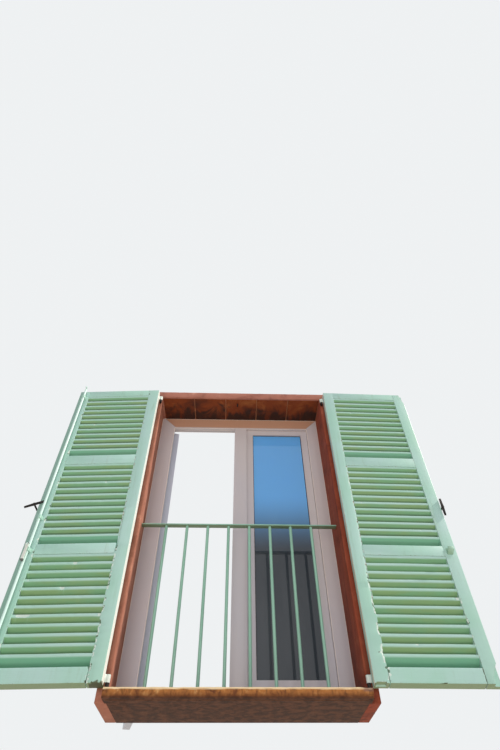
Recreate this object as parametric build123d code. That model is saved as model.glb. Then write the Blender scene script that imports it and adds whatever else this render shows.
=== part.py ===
from build123d import *
from math import cos, radians, sin, tan
import os

# A pair of louvred window shutters hung on pintles in a rendered opening, with the
# window and guard rail of that opening. X runs to the right, Y into the wall, Z up.
# The facade is the plane y = 0 and the underside of the sill is z = 0.

# Opening and lining
opening_width = 1300.0
opening_height = 2132.0
reveal_depth = 262.0
left_splay = 22.0
jamb_thick = 60.0
head_thick = 45.0
head_lip = 20.0
tile_thick = 14.0
tile_count = 5
tile_joint = 5.0

# Sill
sill_thick = 50.0
sill_nose = 90.0
sill_horn = 10.0
sill_round = 17.0
drip_width = 8.0
drip_back = 14.0

# Leaves
leaf_height = 2105.0
leaf_thick = 45.0
leaf_lift = 15.0
foot_drop = 11.0
leaf_set = 3.0
side_gap = 3.0
meet_gap = 3.0
right_width = 652.0
stile_width = 78.0
top_rail = 61.0
upper_rail = 76.0
lower_rail = 66.0
bottom_rail = 72.0
left_turn = 183.2
right_turn = 181.2
arris = 2.0

# Tenons and mortises
tenon_thick = 15.0
tenon_long = 45.0
tenon_shoulder = 9.0
joint_gap = 0.2

# Slats
slat_count = 12
slat_thick = 9.5
slat_tilt = 50.0
slat_inset = 2.5
slat_round = 12.0
slat_arris = 1.0
housing_deep = 8.0

# Corner cuts and worn feet
top_cut_wide = 22.0
top_cut_high = 100.0
foot_cut_wide = 38.0
foot_cut_high = 95.0
worn_wide = 52.0
worn_high = 6.0

# Hinges
pin_radius = 6.0
pin_front = 19.0
pin_out = 8.0
pin_clear = 0.06
eye_wall = 5.0
strap_thick = 5.0
strap_high = 36.0
strap_tip = 24.0
strap_long = 340.0
collar_high = 9.0
shank_size = 12.0
shank_out = 4.0
shank_long = 80.0
seat_gap = 0.3
pin_proud = 4.0
bolt_radius = 4.0
bolt_head = 8.5
bolt_head_high = 3.5
bolt_deep = 28.0
bolt_places = (38.0, 170.0, 310.0)

# Espagnolette on the left leaf
rod_radius = 8.0
rod_edge = 45.0
rod_off = 22.0
rod_proud = 8.0
rod_clear = 0.07
guide_wall = 4.5
guide_high = 22.0
guide_plate = 4.0
guide_ear = 12.0
guide_end = 70.0
guide_reach = 190.0
lug_thick = 8.0
lug_reach = 27.0
lug_round = 8.5
pivot_height = 722.0
pivot_radius = 3.0
pivot_clear = 0.06
handle_long = 98.0
handle_wide = 14.0
handle_thick = 10.0
cheek_thick = 4.5
cheek_gap = 0.4
knob_radius = 9.0
strike_radius = 5.0
strike_reach = 21.0
strike_long = 30.0
strike_tail = 25.0
hook_wide = 8.0
hook_thick = 9.0
hook_gap = 0.8
hook_lock = 27.0
hook_wrap = 22.0
hook_turn = 90.0

# Keeper on the right leaf
keeper_edge = 27.0
keeper_wide = 35.0
keeper_high = 40.0
keeper_thick = 4.0
keeper_gap = 1.0

# Wall dogs
dog_past = {-1: 30.0, 1: 11.5}
dog_height = 1042.0
dog_bar_long = 124.0
dog_bar_wide = 16.0
dog_bar_thick = 8.0
dog_hub = 9.5
dog_pin = 4.5
dog_spike = 5.5
dog_tail = 60.0
dog_left_tilt = 22.0
dog_face_gap = 0.4

# Guard rail
rail_height = 1008.0
rail_deep = 40.0
rail_thick = 8.0
rail_centre = 128.0
rail_let = 30.0
bar_radius = 9.5
bar_count = 8
bar_pitch = 139.0
bar_shift = -8.0
bar_let = 15.0

# Window
frame_deep = 70.0
frame_jamb = 90.0
frame_head = 106.0
frame_foot = 60.0
mullion_wide = 100.0
stop_deep = 26.0
rebate = 18.0
sash_gap = 3.0
sash_face_gap = 1.0
sash_thick = 44.0
sash_stile = 67.0
sash_top = 57.0
sash_foot = 95.0
glass_thick = 20.0
glass_lip = 12.0
glass_edge = 14.0
glass_clear = 2.0
sash_open = 105.0
barrel_radius = 7.0
barrel_high = 34.0
barrel_pin = 4.0
barrel_clear = 0.06
barrel_out = 7.5
flap_long = 44.0
flap_thick = 2.5
barrel_places = (0.1, 0.5, 0.9)
rose_radius = 16.0
rose_high = 10.0
spindle_radius = 5.0
lever_neck = 42.0
lever_long = 115.0
lever_wide = 18.0
lever_thick = 11.0
lever_height = 1000.0

# Sizes worked out from the ones above
half = opening_width / 2
head_low = sill_thick + opening_height
left_width = opening_width - 2 * side_gap - meet_gap - right_width
leaf_low = sill_thick + leaf_lift
panel_high = (leaf_height - top_rail - upper_rail - lower_rail - bottom_rail) / 3
nose_high = slat_thick / cos(radians(slat_tilt))
slat_pitch = (panel_high - nose_high) / slat_count
cut_deep = leaf_thick / 2
eye_radius = pin_radius + eye_wall
pin_x = half + pin_out
pin_s = -(pin_out + side_gap)
pin_d = -(pin_front + leaf_set)
rod_s = left_width - rod_edge
rod_d = leaf_thick + rod_off
frame_y = reveal_depth
frame_back = reveal_depth + frame_deep
sash_front = frame_y + stop_deep + sash_face_gap
sash_back = sash_front + sash_thick

rail_levels = {
    "bottom_rail": (0.0, bottom_rail),
    "lower_mid_rail": (bottom_rail + panel_high, lower_rail),
    "upper_mid_rail": (bottom_rail + lower_rail + 2 * panel_high, upper_rail),
    "top_rail": (leaf_height - top_rail, top_rail),
}
panel_levels = {
    "slats_bottom": bottom_rail,
    "slats_middle": bottom_rail + panel_high + lower_rail,
    "slats_top": bottom_rail + 2 * panel_high + lower_rail + upper_rail,
}
strap_rails = ("bottom_rail", "top_rail")


def block(x0, x1, y0, y1, z0, z1):
    """A box from its low and high corner."""
    low = (min(x0, x1), min(y0, y1), min(z0, z1))
    return Pos(*low) * Box(abs(x1 - x0), abs(y1 - y0), abs(z1 - z0), align=(Align.MIN,) * 3)


def post(radius, x, y, z0, z1):
    """An upright round bar."""
    return Pos(x, y, min(z0, z1)) * Cylinder(radius, abs(z1 - z0), align=(Align.CENTER, Align.CENTER, Align.MIN))


def bar_along_y(radius, x, y0, y1, z):
    """A round bar that runs into the wall."""
    bar = Cylinder(radius, abs(y1 - y0), align=(Align.CENTER, Align.CENTER, Align.MIN))
    return Pos(x, min(y0, y1), z) * Rot(-90, 0, 0) * bar


def leaf_width(side):
    """The width of the left or the right leaf."""
    return left_width if side < 0 else right_width


def side_profile(points, x0, x1):
    """An outline in the YZ plane, drawn out along X."""
    face = make_face(Polyline([(0, y, z) for y, z in points], close=True))
    return Pos(x0, 0, 0) * extrude(face, amount=x1 - x0, dir=(1, 0, 0))


def plan_profile(sketch, z0, z1):
    """A sketch in plan, drawn up from z0 to z1."""
    return Pos(0, 0, z0) * extrude(sketch, amount=z1 - z0)


def turned(shape, x, y, angle):
    """A shape turned about an upright axis."""
    return Pos(x, y, 0) * Rot(0, 0, angle) * Pos(-x, -y, 0) * shape


def leaf_place(shape, side):
    """Moves a shape from the leaf's own frame to its place on the open leaf.

    In the leaf's frame x runs from the hinge edge, y from the outer face, z from the foot.
    """
    if side > 0:
        shape = mirror(shape, about=Plane.YZ)
    hung = Pos(side * (half - side_gap), leaf_set, leaf_low) * shape
    turn = right_turn if side > 0 else -left_turn
    return turned(hung, side * pin_x, -pin_front, turn)


def save(name, shapes):
    """Writes one node, as one solid or as a group of like solids."""
    solids = [solid for shape in shapes for solid in shape.solids()]
    whole = solids[0] if len(solids) == 1 else Compound(children=solids)
    export_step(whole, f"parts/{name}.step")


def slat_outline(spare):
    """The section of one slat in depth and height, its nose foot at the inner face at z = 0."""
    front = leaf_thick - slat_inset
    back = slat_inset
    drop = (front - back) * tan(radians(slat_tilt))
    corners = Polyline((0, front, 0), (0, front, nose_high), (0, back, nose_high - drop),
                       (0, back, -drop), close=True)
    foot, top = make_face(corners).vertices().group_by(Axis.Y)[-1].sort_by(Axis.Z)
    face = fillet(foot, slat_round)
    top = face.vertices().sort_by(Axis.Z)[-1]
    face = fillet(top, slat_arris)
    return offset(face, spare, kind=Kind.INTERSECTION) if spare else face


def slat_run(x0, x1, spare=0.0):
    """One slat between two places across the leaf, its nose foot at z = 0."""
    return Pos(x0, 0, 0) * extrude(slat_outline(spare), amount=x1 - x0, dir=(1, 0, 0))


def slat_heights(panel):
    """The heights of the nose feet in one panel, lowest first."""
    return [panel_levels[panel] + slat_pitch * (row + 1) for row in range(slat_count)]


def tenon(x0, x1, low, high, spare=0.0):
    """A tenon of a rail, or with spare the mortise for it."""
    mid = leaf_thick / 2
    grow = tenon_thick / 2 + spare
    shoulder = tenon_shoulder - spare
    return block(x0, x1, mid - grow, mid + grow, low + shoulder, high - shoulder)


def strap_middle(rail):
    """The height of a strap's middle on its rail."""
    low, high = rail_levels[rail]
    return low + high / 2


def bolt_hole(x, z):
    """The hole for one strap bolt, through the strap and into the leaf."""
    hole = bar_along_y(bolt_radius + joint_gap, x, -strap_thick - bolt_head_high, bolt_deep + joint_gap, z)
    return hole


def stile(side, meeting):
    """One stile with its mortises and slat housings."""
    width = leaf_width(side)
    x0, x1 = (width - stile_width, width) if meeting else (0.0, stile_width)
    body = side_profile(((0, -foot_drop), (leaf_thick, 0), (leaf_thick, leaf_height), (0, leaf_height)), x0, x1)
    outer_edges = body.edges().filter_by(Axis.Z).group_by(Axis.X)[-1 if meeting else 0]
    body = chamfer(outer_edges, arris)
    toward = 1 if meeting else -1
    seam = x0 if meeting else x1
    for low, high in rail_levels.values():
        body -= tenon(seam, seam + toward * (tenon_long + joint_gap), low, low + high, joint_gap)
    pocket = slat_run(min(seam, seam + toward * housing_deep), max(seam, seam + toward * housing_deep), joint_gap)
    for panel in panel_levels:
        for height in slat_heights(panel):
            body -= Pos(0, 0, height) * pocket
    if not meeting:
        for rail in strap_rails:
            body -= bolt_hole(bolt_places[0], strap_middle(rail))
    if side > 0:
        body -= corner_cuts(width) if meeting else worn_foot()
    return leaf_place(body, side)


def corner_cuts(width):
    """The two corners cut off the inner half of the right meeting stile."""
    cuts = []
    for high, wide, tall in ((leaf_height, top_cut_wide, -top_cut_high), (0.0, foot_cut_wide, foot_cut_high)):
        bend = (width - wide, high + tall * 0.35)
        outline = Polyline((width + 5, high - tall * 0.1), (width - wide, high - tall * 0.1), bend,
                           (width - wide * 0.45, high + tall * 0.72), (width, high + tall),
                           (width + 5, high + tall), close=True)
        face = Plane.XZ * make_face(outline)
        cuts.append(Pos(0, leaf_thick + 1, 0) * extrude(face, amount=cut_deep + 1))
    return cuts


def worn_foot():
    """The piece broken from the inner corner of the right hinge stile's foot."""
    under = -foot_drop - 1
    outline = ((leaf_thick + 1, under), (leaf_thick + 1, worn_high), (leaf_thick - 9, worn_high * 0.4),
               (leaf_thick - 24, 0), (leaf_thick - 34, under))
    return side_profile(outline, stile_width * 0.12, stile_width * 0.12 + worn_wide)


def rail(side, name):
    """One rail with a tenon at each end and the holes for its strap bolts."""
    low, high = rail_levels[name]
    x0 = stile_width
    x1 = leaf_width(side) - stile_width
    foot = low - foot_drop if name == "bottom_rail" else low
    body = side_profile(((0, foot), (leaf_thick, low), (leaf_thick, low + high), (0, low + high)), x0, x1)
    body += tenon(x0 - tenon_long, x0, low, low + high)
    body += tenon(x1, x1 + tenon_long, low, low + high)
    if name in strap_rails:
        for place in bolt_places:
            body -= bolt_hole(place, strap_middle(name))
    return leaf_place(body, side)


def slats(side, panel):
    """The slats of one panel, their ends in the stiles' housings."""
    reach = housing_deep - joint_gap
    one = slat_run(stile_width - reach, leaf_width(side) - stile_width + reach)
    return [leaf_place(Pos(0, 0, height) * one, side) for height in slat_heights(panel)]


def strap(side, name):
    """One strap with its rolled eye, cranked back from the pin to the leaf's outer face."""
    middle = strap_middle(name)
    neck = make_face(Polyline(
        (pin_s, pin_d + eye_radius), (pin_s + 9, pin_d + eye_radius), (8, 0), (strap_long, 0),
        (strap_long, -strap_thick), (10, -strap_thick), (pin_s + 11, pin_d + eye_radius - strap_thick),
        (pin_s, pin_d + eye_radius - strap_thick), close=True))
    eye = Pos(pin_s, pin_d) * Circle(eye_radius)
    body = plan_profile(neck + eye, middle - strap_high / 2, middle + strap_high / 2)
    body -= post(pin_radius + pin_clear, pin_s, pin_d, middle - strap_high, middle + strap_high)
    outline = make_face(Polyline(
        (pin_s - 20, -strap_high / 2), (30, -strap_high / 2), (strap_long - 30, -strap_tip / 2),
        (strap_long, -strap_tip / 4), (strap_long, strap_tip / 4), (strap_long - 30, strap_tip / 2),
        (30, strap_high / 2), (pin_s - 20, strap_high / 2), close=True))
    side_form = Pos(0, 20, middle) * extrude(Plane.XZ * outline, amount=80)
    body = body & side_form
    for place in bolt_places:
        body -= bolt_hole(place, middle)
    return leaf_place(body, side)


def strap_bolt(side, place, name):
    """One round headed bolt through a strap into the leaf."""
    middle = strap_middle(name)
    shank = bar_along_y(bolt_radius, place, -strap_thick, bolt_deep, middle)
    head = Cone(bolt_head, bolt_head * 0.6, bolt_head_high, align=(Align.CENTER, Align.CENTER, Align.MIN))
    head = Pos(place, -strap_thick, middle) * Rot(90, 0, 0) * head
    return leaf_place(shank + head, side)


def pintle(side, name):
    """One pintle, its shank let into the jamb under the pin that carries a strap's eye."""
    x = side * pin_x
    eye_low = leaf_low + strap_middle(name) - strap_high / 2
    seat = eye_low - seat_gap
    pin = post(pin_radius, x, -pin_front, seat, seat + strap_high + seat_gap + pin_proud)
    pin = chamfer(pin.edges().group_by(Axis.Z)[-1], 1.5)
    collar = post(eye_radius - 1, x, -pin_front, seat - collar_high - shank_size, seat)
    return pin + collar + shank(side, seat, 0.0)


def shank(side, seat, spare):
    """The shank of a pintle, or with spare the pocket that it is let into."""
    grow = shank_size / 2 + spare
    x = side * (pin_x + shank_out)
    middle = seat - collar_high - shank_size / 2
    front = -pin_front if not spare else -1
    return block(x - grow, x + grow, front, shank_long - pin_front + spare, middle - grow, middle + grow)


def jamb(side):
    """One side of the lining, with the pockets for pintles, guard rail and horn."""
    body = block(side * half, side * (half + jamb_thick), 0, frame_back, 0, head_low)
    if side < 0:
        body -= splay_cut()
    for name in strap_rails:
        seat = leaf_low + strap_middle(name) - strap_high / 2 - seat_gap
        body -= shank(side, seat, joint_gap)
    low = sill_thick + rail_height
    body -= block(side * (half - 1), side * (half + rail_let + joint_gap), rail_centre - rail_deep / 2 - joint_gap,
                  rail_centre + rail_deep / 2 + joint_gap, low - joint_gap, low + rail_thick + joint_gap)
    return body


def splay_cut():
    """What the left jamb loses above the sill, because its face runs outward into the wall."""
    deep = frame_back + 1
    plan = make_face(Polyline((1 - half, -1), (-half, 0), (-half - left_splay, frame_y),
                              (-half - left_splay, deep), (1 - half, deep), close=True))
    return plan_profile(plan, sill_thick, head_low + 1)


def head():
    """The lintel lining, with a lip that hides the front of the soffit tiles."""
    reach = half + jamb_thick
    body = block(-reach, reach, 0, frame_back, head_low + tile_thick, head_low + tile_thick + head_thick)
    for side in (-1, 1):
        body += block(side * half, side * reach, 0, frame_back, head_low, head_low + tile_thick)
    body += block(-half, half, 0, head_lip, head_low, head_low + tile_thick)
    body += block(-half, half, frame_y, frame_back, head_low, head_low + tile_thick)
    tail = strike_pin(1, joint_gap)
    return body - tail


def soffit_tiles():
    """The row of tiles under the head."""
    wide = (opening_width - tile_joint * (tile_count - 1)) / tile_count
    tiles = []
    for index in range(tile_count):
        x0 = -half + index * (wide + tile_joint)
        tile = block(x0, x0 + wide, head_lip, frame_y, head_low, head_low + tile_thick)
        tiles.append(tile - strike_pin(1, joint_gap))
    return tiles


def sill():
    """The stone sill with its round nose, drip groove, horns and sockets for the guard bars."""
    line = Polyline((0, -sill_nose, 0), (0, -sill_nose, sill_thick), (0, frame_back, sill_thick),
                    (0, frame_back, 0), close=True)
    face = make_face(line)
    face = fillet(face.vertices().group_by(Axis.Y)[0], sill_round)
    body = Pos(-half, 0, 0) * extrude(face, amount=opening_width, dir=(1, 0, 0))
    horn_face = face & Plane.YZ * (Pos(-sill_nose / 2, sill_thick / 2) * Rectangle(sill_nose, sill_thick))
    for side in (-1, 1):
        body += Pos(side * half, 0, 0) * extrude(horn_face, amount=sill_horn, dir=(side, 0, 0))
    drip = drip_back - sill_nose + sill_round
    body -= block(-half - sill_horn + drip_back, half + sill_horn - drip_back, drip, drip + drip_width,
                  -1, drip_width / 2)
    for x in bar_places():
        body -= post(bar_radius + joint_gap, x, rail_centre, sill_thick - bar_let - joint_gap, sill_thick + 1)
    return body - strike_pin(0, joint_gap)


def bar_places():
    """The places of the guard bars across the opening."""
    first = bar_shift - bar_pitch * (bar_count - 1) / 2
    return [first + bar_pitch * index for index in range(bar_count)]


def guard_top():
    """The flat top bar of the guard rail, its ends let into the jambs."""
    low = sill_thick + rail_height
    reach = half + rail_let
    return block(-reach, reach, rail_centre - rail_deep / 2, rail_centre + rail_deep / 2, low, low + rail_thick)


def guard_bars():
    """The upright guard bars, from their sockets in the sill to the top bar."""
    return [post(bar_radius, x, rail_centre, sill_thick - bar_let, sill_thick + rail_height) for x in bar_places()]


def rod_x():
    """Where the closed leaf puts the rod's axis across the opening."""
    return -half + side_gap + rod_s


def strike_pin(top, spare=0.0):
    """A strike for the rod's hook, in the head or the sill, or with spare its hole."""
    x = rod_x() + strike_reach
    y = leaf_set + rod_d
    edge = head_low if top else sill_thick
    out = -1 if top else 1
    if spare:
        return post(strike_radius + spare, x, y, edge + out, edge - out * (strike_tail + spare))
    return post(strike_radius, x, y, edge + out * strike_long, edge - out * strike_tail)


def rod():
    """The espagnolette rod with a hook at each end and the lug of its handle."""
    low = -rod_proud
    high = leaf_height + rod_proud
    body = post(rod_radius, rod_s, rod_d, low, high)
    for foot in (low, high - hook_thick):
        body += Pos(rod_s, rod_d) * plan_profile(hook_sketch(), foot, foot + hook_thick)
    lug = block(-lug_thick / 2, lug_thick / 2, 0, lug_reach, -lug_round, lug_round)
    lug += Rot(0, 90, 0) * Pos(0, lug_reach) * Cylinder(lug_round, lug_thick)
    body += Pos(rod_s, rod_d, pivot_height) * lug
    body -= handle_pivot(joint_gap)
    return leaf_place(body, -1)


def hook_sketch():
    """One hook in plan, about the rod's axis, with the rod turned open."""
    inner = strike_reach + strike_radius + hook_gap
    outer = inner + hook_wide * 0.75
    ring = Circle(outer) - Circle(inner)
    start = hook_lock + hook_turn
    angles = [start - hook_wrap + step * hook_wrap / 4 for step in range(5)]
    reach = outer * 1.2
    wedge = [(0.0, 0.0)] + [(reach * cos(radians(angle)), reach * sin(radians(angle))) for angle in angles]
    finger = ring & make_face(Polyline(wedge, close=True))
    arm = Rot(0, 0, start) * Pos(outer / 2, 0) * Rectangle(outer - 0.6, hook_wide)
    return arm + finger


def handle_pivot(spare=0.0):
    """The pin of the handle across the lug, or with spare its hole."""
    long = lug_thick + 2 * cheek_gap + 2 * cheek_thick
    pin = Rot(0, 90, 0) * Cylinder(pivot_radius + spare, long + 4 * spare)
    return Pos(rod_s, rod_d + lug_reach, pivot_height) * pin


def handle():
    """The handle, its two cheeks astride the lug, hanging down in front of the rod."""
    reach = lug_round + cheek_gap + 1.5
    span = lug_thick / 2 + cheek_gap + cheek_thick
    body = Rot(0, 90, 0) * Cylinder(reach - 2.0, 2 * span)
    body += block(-span, span, -handle_thick / 2, handle_thick / 2, -reach - 6, 0)
    body -= Rot(0, 90, 0) * Cylinder(reach, lug_thick + 2 * cheek_gap)
    body += block(-span, span, -handle_thick / 2, handle_thick / 2, -reach - 8, -reach)
    grip = block(-handle_wide / 2, handle_wide / 2, -handle_thick / 2, handle_thick / 2, -handle_long, -reach)
    body += grip
    body += Pos(0, 0, -handle_long) * Rot(90, 0, 0) * Cylinder(knob_radius, handle_thick + 2)
    body -= Rot(0, 90, 0) * Cylinder(pivot_radius + pivot_clear, 2 * span + 2)
    return leaf_place(Pos(rod_s, rod_d + lug_reach, pivot_height) * body, -1)


def guide(height):
    """One guide of the rod, a loop on a plate with two ears."""
    wall = rod_radius + guide_wall
    plan = Pos(rod_s, rod_d) * Circle(wall)
    plan += Pos(rod_s, (leaf_thick + rod_d) / 2) * Rectangle(2 * wall, rod_d - leaf_thick)
    plan += Pos(rod_s, leaf_thick + guide_plate / 2) * Rectangle(2 * (wall + guide_ear), guide_plate)
    plan -= Pos(rod_s, rod_d) * Circle(rod_radius + rod_clear)
    return leaf_place(plan_profile(plan, height, height + guide_high), -1)


def guide_heights():
    """The feet of the rod's guides, one close under the lug to carry the rod."""
    under_lug = pivot_height - lug_round - seat_gap - guide_high
    return (guide_end, under_lug, pivot_height + guide_reach, leaf_height - guide_end - guide_high)


def keeper():
    """The hooked keeper for the handle, on the inner face of the right leaf."""
    face = leaf_thick
    under = pivot_height - handle_thick / 2 - keeper_gap
    low = pivot_height - keeper_high / 2 - knob_radius
    inside = rod_off + handle_wide / 2 + keeper_gap
    outline = ((face, low), (face, low + keeper_high), (face + keeper_thick, low + keeper_high),
               (face + keeper_thick, under), (face + inside, under), (face + inside, under + handle_thick),
               (face + inside + keeper_thick, under + handle_thick + 3),
               (face + inside + keeper_thick, under - keeper_thick * 1.6),
               (face + keeper_thick, low))
    x1 = right_width - keeper_edge
    return leaf_place(side_profile(outline, x1 - keeper_wide, x1), 1)


def dog_place(side):
    """How far from the middle a dog stands: just past the edge of its open leaf."""
    return opening_width / 2 + leaf_width(side) + side_gap + 2 * pin_out + dog_past[side]


def dog_bar(side):
    """The turning bar of a wall dog, with its hub and tapered arms."""
    arm = dog_bar_long / 2
    outline = Polyline((-arm, -dog_bar_wide * 0.35), (0, -dog_bar_wide / 2), (arm, -dog_bar_wide * 0.35),
                       (arm, dog_bar_wide * 0.35), (0, dog_bar_wide / 2), (-arm, dog_bar_wide * 0.35), close=True)
    body = extrude(make_face(outline) + Circle(dog_hub), amount=dog_bar_thick)
    body -= Cylinder(dog_pin + pin_clear, 4 * dog_bar_thick)
    tilt = -dog_left_tilt if side < 0 else 90.0
    front = dog_bar_front(side)
    return Pos(side * dog_place(side), front, sill_thick + dog_height) * Rot(-90, 0, 0) * Rot(0, 0, tilt) * body


def dog_bar_front(side):
    """The plane of a bar's outer face, so that the bar turns close before its open leaf."""
    over = leaf_width(side) + side_gap + pin_out
    turn = radians((left_turn if side < 0 else right_turn) - 180.0)
    face = -pin_front + over * sin(turn) - (pin_front + leaf_set + leaf_thick) * cos(turn)
    inboard = dog_bar_long / 2 * tan(turn)
    return face - inboard - dog_face_gap - dog_bar_thick


def dog_spike_bar(side):
    """The spike of a wall dog, with the pin that its bar turns on and a riveted end."""
    x = side * dog_place(side)
    z = sill_thick + dog_height
    front = dog_bar_front(side)
    back = front + dog_bar_thick + seat_gap
    body = bar_along_y(dog_spike + 1, x, back, back + 4, z)
    body += bar_along_y(dog_spike, x, back, dog_tail, z)
    body += bar_along_y(dog_pin, x, front - seat_gap, back, z)
    body += bar_along_y(dog_pin + 3.5, x, front - seat_gap - 3, front - seat_gap, z)
    return body


def window_frame():
    """The outer frame of the window, with the stop that its sashes close against."""
    body = block(-half - left_splay, half, frame_y, frame_back, sill_thick, head_low)
    low = sill_thick + frame_foot
    high = head_low - frame_head
    side = half - frame_jamb
    body -= block(-side, side, frame_y - 1, frame_back + 1, low, high)
    body -= block(-side - rebate, side + rebate, frame_y + stop_deep, frame_back + 1, low - rebate, high + rebate)
    return body


def mullion():
    """The fixed middle post of the window frame."""
    low = sill_thick + frame_foot
    high = head_low - frame_head
    face = mullion_wide / 2
    body = block(-face, face, frame_y, frame_y + stop_deep, low, high)
    core = face - rebate
    return body + block(-core, core, frame_y + stop_deep, frame_back, low - rebate, high + rebate)


def sash_box():
    """The outer edges of a closed right sash."""
    x0 = mullion_wide / 2 - rebate + sash_gap
    x1 = half - frame_jamb + rebate - sash_gap
    z0 = sill_thick + frame_foot - rebate + sash_gap
    z1 = head_low - frame_head + rebate - sash_gap
    return x0, x1, z0, z1


def sash_axis():
    """The upright hinge axis of the right sash in plan."""
    return sash_box()[1] + sash_gap, sash_back + barrel_out


def sash_place(shape, side):
    """Moves a shape from the closed right sash to its place on either sash at rest."""
    if side > 0:
        return shape
    x, y = sash_axis()
    return turned(mirror(shape, about=Plane.YZ), -x, y, sash_open)


def sash_frame(side):
    """One sash, its stiles and rails welded at the corners, rebated for the glass."""
    x0, x1, z0, z1 = sash_box()
    body = block(x0, x1, sash_front, sash_back, z0, z1)
    left, right = x0 + sash_stile, x1 - sash_stile
    low, high = z0 + sash_foot, z1 - sash_top
    body -= block(left, right, sash_front - 1, sash_back + 1, low, high)
    edge = glass_edge
    body -= block(left - edge, right + edge, sash_front + glass_lip, sash_back + 1, low - edge, high + edge)
    body -= rose_post(spindle_radius + joint_gap)
    return sash_place(body, side)


def glass_box():
    """The edges of the glazing rebate of a closed right sash."""
    x0, x1, z0, z1 = sash_box()
    return (x0 + sash_stile - glass_edge, x1 - sash_stile + glass_edge,
            z0 + sash_foot - glass_edge, z1 - sash_top + glass_edge)


def sash_glass(side):
    """The sealed glazing unit of one sash."""
    x0, x1, z0, z1 = glass_box()
    front = sash_front + glass_lip
    pane = block(x0 + glass_clear, x1 - glass_clear, front, front + glass_thick, z0 + glass_clear, z1 - glass_clear)
    return sash_place(pane, side)


def sash_beads(side):
    """The four glazing beads of one sash, behind its glass."""
    x0, x1, z0, z1 = glass_box()
    front = sash_front + glass_lip + glass_thick
    wide = glass_edge
    beads = [block(x0, x0 + wide, front, sash_back, z0, z1), block(x1 - wide, x1, front, sash_back, z0, z1),
             block(x0 + wide, x1 - wide, front, sash_back, z0, z0 + wide),
             block(x0 + wide, x1 - wide, front, sash_back, z1 - wide, z1)]
    return [sash_place(bead, side) for bead in beads]


def barrel_feet():
    """The feet of the window hinges' lower barrels."""
    z0, z1 = sash_box()[2:]
    return [z0 + (z1 - z0) * share - barrel_high for share in barrel_places]


def hinge_pin(side, foot):
    """The half of a window hinge on the frame, with its pin."""
    x, y = sash_axis()
    body = post(barrel_radius, x, y, foot, foot + barrel_high)
    body += block(x, x + flap_long, frame_back, frame_back + flap_thick, foot, foot + barrel_high)
    body += post(barrel_pin, x, y, foot, foot + 2 * barrel_high)
    return body if side > 0 else mirror(body, about=Plane.YZ)


def hinge_barrel(side, foot):
    """The half of a window hinge on the sash."""
    x, y = sash_axis()
    low = foot + barrel_high + seat_gap
    high = low + barrel_high
    body = post(barrel_radius, x, y, low, high)
    body += block(x - flap_long, x - barrel_radius * 0.6, sash_back, sash_back + flap_thick, low, high)
    body -= post(barrel_pin + barrel_clear, x, y, low - 1, high + 1)
    return sash_place(body, side)


def rose_post(radius):
    """The line of a window handle's spindle through the meeting stile."""
    x = sash_box()[0] + sash_stile / 2
    return bar_along_y(radius, x, sash_back - glass_thick, sash_back + rose_high + 2, lever_height)


def handle_rose(side):
    """The round plate behind a window handle."""
    x = sash_box()[0] + sash_stile / 2
    body = bar_along_y(rose_radius, x, sash_back, sash_back + rose_high, lever_height)
    body -= rose_post(spindle_radius + pin_clear)
    return sash_place(body, side)


def window_lever(side):
    """A window handle with its spindle, the grip turned down."""
    x = sash_box()[0] + sash_stile / 2
    front = sash_back + rose_high + seat_gap
    body = bar_along_y(spindle_radius, x, sash_back - glass_thick + 2, front, lever_height)
    body += bar_along_y(lever_wide / 2, x, front, front + lever_neck, lever_height)
    grip = block(x - lever_wide / 2, x + lever_wide / 2, front + lever_neck - lever_thick, front + lever_neck,
                 lever_height - lever_long, lever_height)
    return sash_place(body + fillet(grip.edges().filter_by(Axis.Y).group_by(Axis.Z)[0], 6.0), side)


def leaf_nodes(side, label):
    """The nodes of one leaf's joinery and hinges."""
    nodes = {f"{label}_hinge_stile": [stile(side, False)], f"{label}_meeting_stile": [stile(side, True)]}
    for name in rail_levels:
        nodes[f"{label}_{name}"] = [rail(side, name)]
    for panel in panel_levels:
        nodes[f"{label}_{panel}"] = slats(side, panel)
    nodes[f"{label}_straps"] = [strap(side, name) for name in strap_rails]
    nodes[f"{label}_strap_bolts"] = [strap_bolt(side, place, name) for name in strap_rails for place in bolt_places]
    return nodes


def window_nodes(side, label):
    """The nodes of one sash."""
    feet = barrel_feet()
    return {
        f"{label}_sash_frame": [sash_frame(side)],
        f"{label}_sash_glass": [sash_glass(side)],
        f"{label}_sash_beads": sash_beads(side),
        f"{label}_sash_barrels": [hinge_barrel(side, foot) for foot in feet],
        f"{label}_lever_rose": [handle_rose(side)],
        f"{label}_lever": [window_lever(side)],
    }


os.makedirs("parts", exist_ok=True)
nodes = {
    "sill": [sill()],
    "left_jamb": [jamb(-1)],
    "right_jamb": [jamb(1)],
    "head": [head()],
    "soffit_tiles": soffit_tiles(),
    "pintles": [pintle(side, name) for side in (-1, 1) for name in strap_rails],
    "rod_strikes": [strike_pin(0), strike_pin(1)],
    "dog_spikes": [dog_spike_bar(-1), dog_spike_bar(1)],
    "left_dog_bar": [dog_bar(-1)],
    "right_dog_bar": [dog_bar(1)],
    "guard_top_bar": [guard_top()],
    "guard_bars": guard_bars(),
    "window_frame": [window_frame()],
    "window_mullion": [mullion()],
    "window_hinge_pins": [hinge_pin(side, foot) for side in (-1, 1) for foot in barrel_feet()],
    "espagnolette_rod": [rod()],
    "rod_guides": [guide(height) for height in guide_heights()],
    "handle_pin": [leaf_place(handle_pivot(), -1)],
    "rod_handle": [handle()],
    "handle_keeper": [keeper()],
}
nodes.update(leaf_nodes(-1, "left"))
nodes.update(leaf_nodes(1, "right"))
nodes.update(window_nodes(-1, "left"))
nodes.update(window_nodes(1, "right"))
for name, shapes in nodes.items():
    save(name, shapes)
print(len(nodes), "nodes written")
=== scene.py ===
import bpy
import bmesh
from math import sin, cos, radians
from mathutils import Matrix, Vector, noise as fieldNoise


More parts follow.
